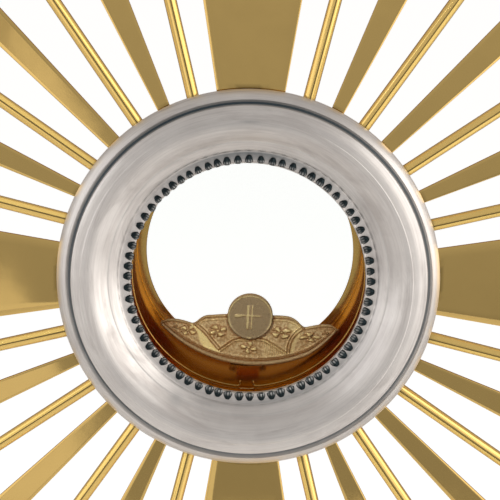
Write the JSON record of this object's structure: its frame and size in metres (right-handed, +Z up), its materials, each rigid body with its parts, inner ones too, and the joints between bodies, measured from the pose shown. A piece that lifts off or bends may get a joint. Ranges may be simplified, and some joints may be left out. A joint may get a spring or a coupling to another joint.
{
  "type": "monstrance",
  "caption": "Standing sunburst monstrance: beaded silver moulding round a glazed case with a rear door and a sliding luna, gilt flat and rod rays, stem with knop, round weighted foot.",
  "frame": {"origin": "centre of the foot's underside, on the felt's lower face", "axes": "+Z up along the stem, -Y the front that shows the moulding, +X to the right seen from the front"},
  "size_m": [0.304, 0.176, 0.607],
  "materials": {
    "satin_silver": "silver plate on brass, satin with fine turned lines",
    "oxidised_silver": "silver plate on brass, blackened in the hollows",
    "bright_gold": "gold plate on brass, polished",
    "ray_gold": "gold plate on brass, mirror polished",
    "luna_gold": "gold plate on cast relief, satin and worn on its edge",
    "clear_glass": "clear, polished edges",
    "steel": "threaded rod, plain",
    "cast_iron": "rough cast",
    "green_felt": "wool felt"
  },
  "bodies": {
    "stand": {"bead_row": "oxidised_silver", "case_drum": "bright_gold", "case_saddle": "bright_gold", "door_clip": "bright_gold", "felt_pad": "green_felt", "foot_ballast": "cast_iron", "foot_ring": "satin_silver", "foot_shell": "bright_gold", "front_glass": "clear_glass", "glass_spring_ring": "bright_gold", "hinge_bracket": "bright_gold", "hinge_pin": "bright_gold", "knop": "satin_silver", "luna_rail": "bright_gold", "ray_broad_01": "ray_gold", "ray_broad_02": "ray_gold", "ray_broad_03": "ray_gold", "ray_broad_04": "ray_gold", "ray_diagonal_01": "ray_gold", "ray_diagonal_02": "ray_gold", "ray_diagonal_03": "ray_gold", "ray_diagonal_04": "ray_gold", "ray_flange": "bright_gold", "ray_flat_01": "ray_gold", "ray_flat_02": "ray_gold", "ray_flat_03": "ray_gold", "ray_flat_04": "ray_gold", "ray_flat_05": "ray_gold", "ray_flat_06": "ray_gold", "ray_flat_07": "ray_gold", "ray_flat_08": "ray_gold", "ray_rod_01": "ray_gold", "ray_rod_02": "ray_gold", "ray_rod_03": "ray_gold", "ray_rod_04": "ray_gold", "ray_rod_05": "ray_gold", "ray_rod_06": "ray_gold", "ray_rod_07": "ray_gold", "ray_rod_08": "ray_gold", "ray_rod_09": "ray_gold", "ray_rod_10": "ray_gold", "ray_rod_11": "ray_gold", "ray_rod_12": "ray_gold", "ray_rod_13": "ray_gold", "ray_rod_14": "ray_gold", "ray_rod_15": "ray_gold", "ray_rod_16": "ray_gold", "silver_ring": "satin_silver", "stem_lower": "bright_gold", "stem_upper": "bright_gold", "tie_nut": "steel", "tie_rod": "steel"},
    "door": {"door_bezel": "bright_gold", "door_glass": "clear_glass", "door_glass_ring": "bright_gold", "door_knob": "bright_gold"},
    "luna_carriage": {"luna_front": "luna_gold", "luna_pin": "bright_gold", "luna_shoe": "bright_gold"},
    "luna_clip": {"luna_leaf": "luna_gold"}
  },
  "joints": [
    {"name": "door_hinge", "type": "hinge", "parent": "stand", "child": "door", "pos_m": [0.055, 0.0286, 0.455], "axis": [0, 0, -1], "range_deg": [0, 110]},
    {"name": "luna_slide", "type": "slide", "parent": "stand", "child": "luna_carriage", "axis": [0, 1, 0], "range_m": [0, 0.045]},
    {"name": "luna_clip_hinge", "type": "hinge", "parent": "luna_carriage", "child": "luna_clip", "pos_m": [0.00008, 0.0112, 0.4146], "axis": [-0.9993, 0, 0.0384], "range_deg": [0, 30]}
  ],
  "couplings": [
    {"joint": "luna_slide", "follows": "door_hinge", "m_per_rad": 0.0234}
  ]
}
